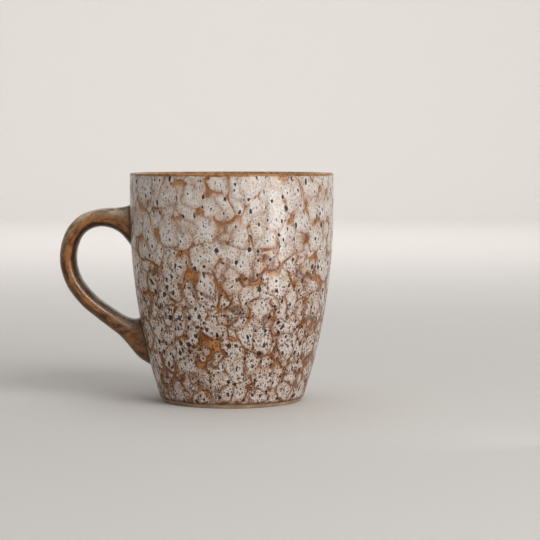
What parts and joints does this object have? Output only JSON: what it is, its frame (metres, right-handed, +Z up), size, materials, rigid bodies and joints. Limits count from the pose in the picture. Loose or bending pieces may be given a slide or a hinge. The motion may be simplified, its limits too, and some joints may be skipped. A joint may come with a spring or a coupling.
{
  "type": "ceramic mug",
  "caption": "Stoneware mug with a gently tapered round body, a loop handle at one side and a mottled white and brown reactive glaze.",
  "frame": {"origin": "on the mug's axis, in the plane of the foot ring that it stands on", "axes": "+Z up along the mug's axis, -X towards the handle, +Y across the handle's plane"},
  "size_m": [0.1202, 0.0892, 0.1],
  "materials": {
    "stoneware": "matte, unglazed",
    "slip": "matte, hidden in the joint",
    "reactive_glaze": "glossy, mottled white over brown",
    "liner_glaze": "glossy, mottled",
    "rim_glaze": "glossy, iron brown",
    "brown_glaze": "glossy, mottled brown"
  },
  "bodies": {
    "root": {"clay_body": "stoneware", "handle_core": "stoneware", "upper_luting_slip": "slip", "lower_luting_slip": "slip", "outer_glaze": "reactive_glaze", "liner_glaze": "liner_glaze", "rim_glaze": "rim_glaze", "handle_glaze": "brown_glaze", "foot_well_glaze": "liner_glaze"}
  },
  "joints": []
}
